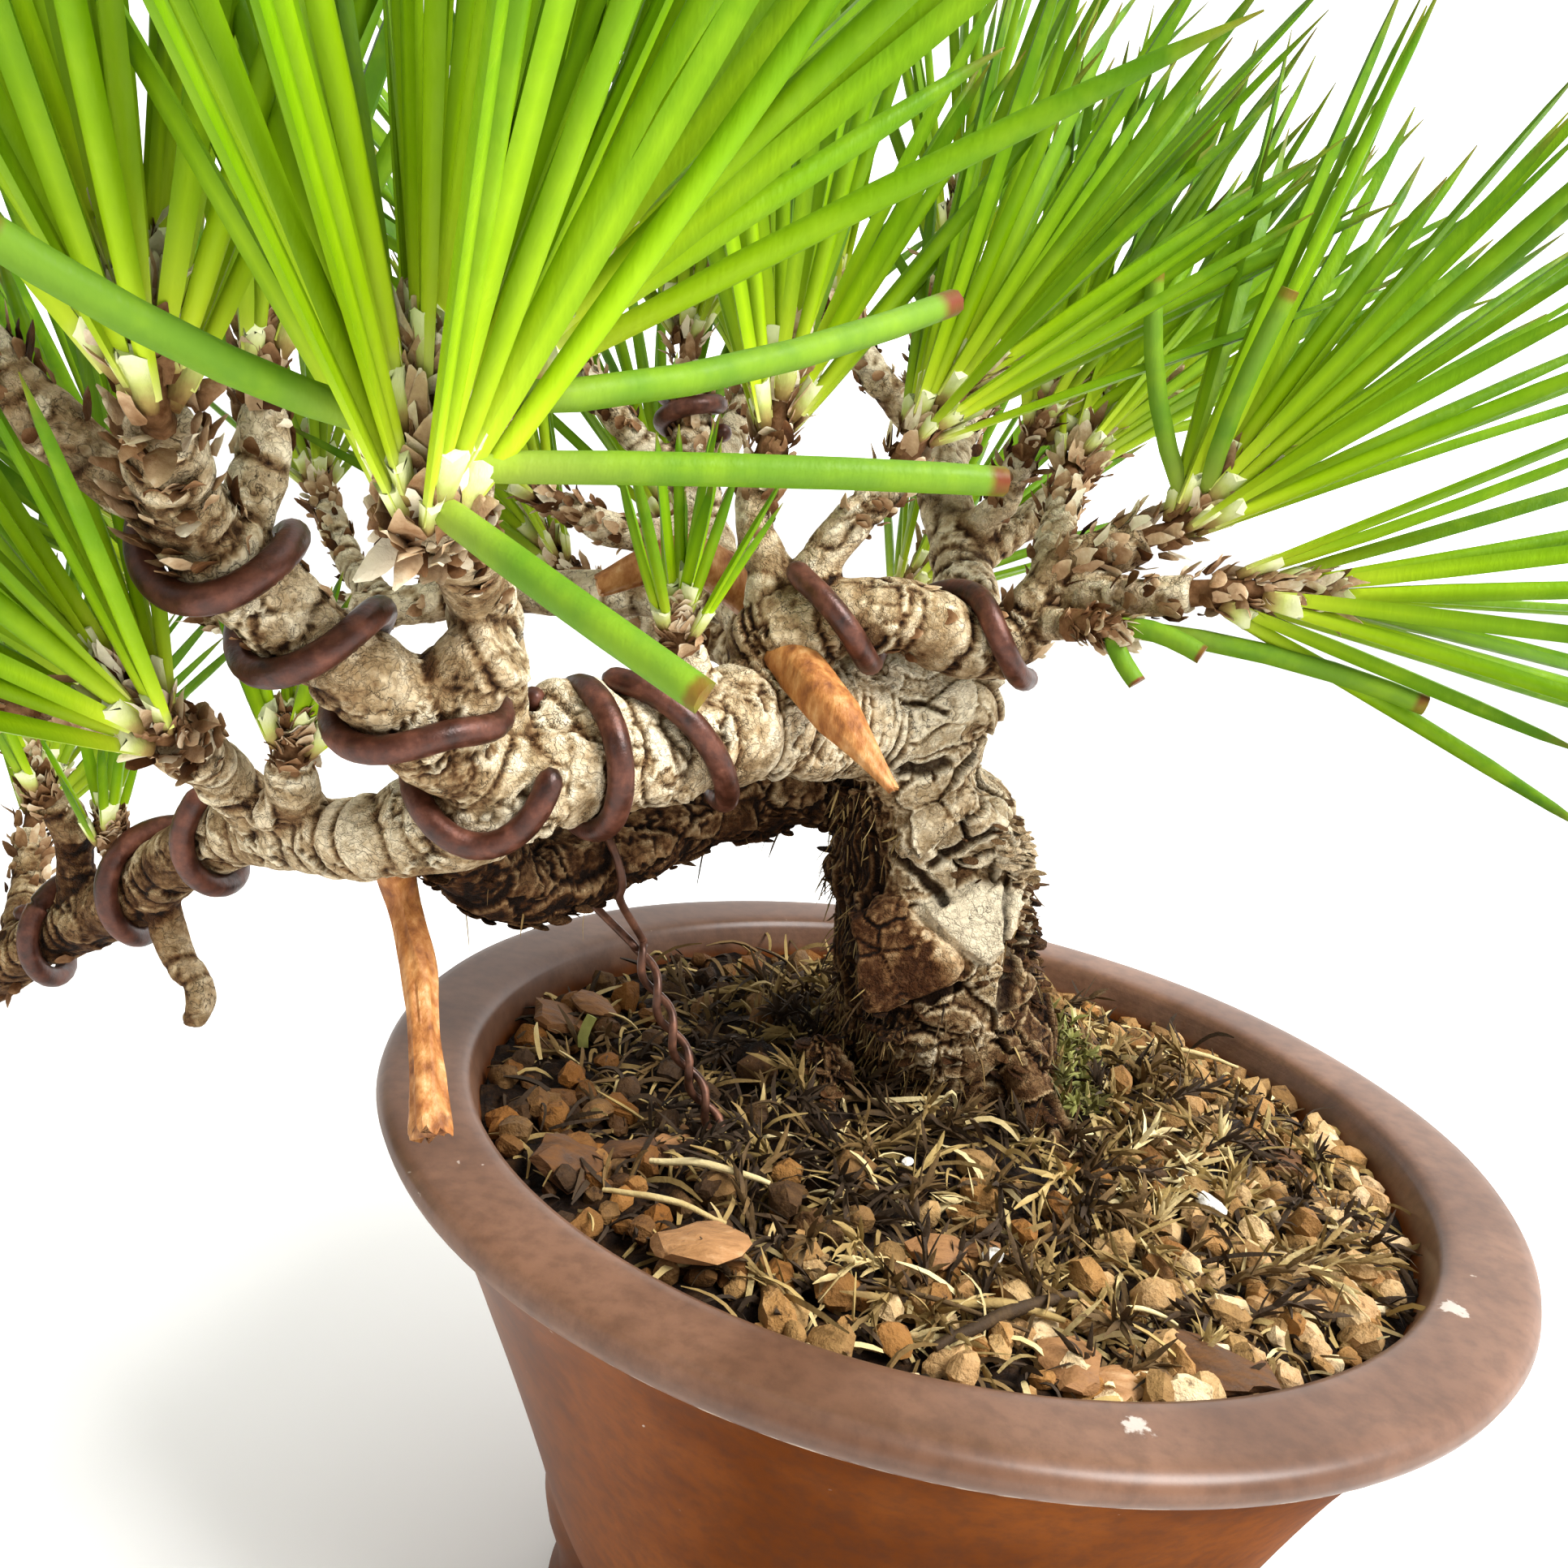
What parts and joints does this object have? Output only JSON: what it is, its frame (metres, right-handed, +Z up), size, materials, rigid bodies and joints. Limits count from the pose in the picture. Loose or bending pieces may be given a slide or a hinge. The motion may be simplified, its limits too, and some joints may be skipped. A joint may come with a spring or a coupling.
{
  "type": "bonsai tree in a pot",
  "caption": "Small black pine bonsai leaning out of a round unglazed stoneware pot with a wide flat lip, branches held by training wire.",
  "frame": {"origin": "middle of the pot's flat base, on the surface that it stands on", "axes": "+Z up through the pot's mouth; -X is the side that the trunk and the long limb lean out over; -Y is the side that the front branches face"},
  "size_m": [0.1571, 0.1249, 0.1346],
  "materials": {
    "stoneware": "matte",
    "soil": "matte",
    "bark": "matte",
    "training_wire": "satin",
    "copper_wire": "satin",
    "needles": "satin",
    "needles_old": "satin"
  },
  "bodies": {
    "root": {"guy_wire": "copper_wire", "pot": "stoneware", "soil": "soil", "tuft_back_left": "needles", "tuft_back_limb": "needles", "tuft_back_low": "needles", "tuft_back_rear": "needles", "tuft_bud": "needles", "tuft_crown_back": "needles", "tuft_crown_front": "needles", "tuft_crown_left": "needles", "tuft_crown_limb": "needles", "tuft_crown_right": "needles", "tuft_cut_stub": "needles", "tuft_dry": "needles_old", "tuft_far_back": "needles", "tuft_far_limb": "needles", "tuft_far_side": "needles", "tuft_far_up": "needles", "tuft_front": "needles", "tuft_front_right": "needles", "tuft_left_low": "needles", "tuft_left_low_side": "needles", "tuft_limb_spur": "needles", "tuft_middle": "needles", "tuft_middle_right": "needles", "tuft_rear_left": "needles", "tuft_rear_limb": "needles", "tuft_rear_right": "needles", "tuft_right_back": "needles", "tuft_right_branch": "needles", "tuft_right_low": "needles", "tuft_right_under": "needles_old", "tuft_rising_limb": "needles", "tuft_rising_side": "needles", "tuft_side_back": "needles", "tuft_side_front": "needles_old", "tuft_side_limb": "needles_old", "tuft_thin_left": "needles", "wire_back_limb": "training_wire", "wire_far_limb": "training_wire", "wire_right_branch": "training_wire", "wire_rising_limb": "training_wire", "wire_upper_limb_inner": "training_wire", "wire_upper_limb_root": "training_wire", "wood": "bark"}
  },
  "joints": []
}
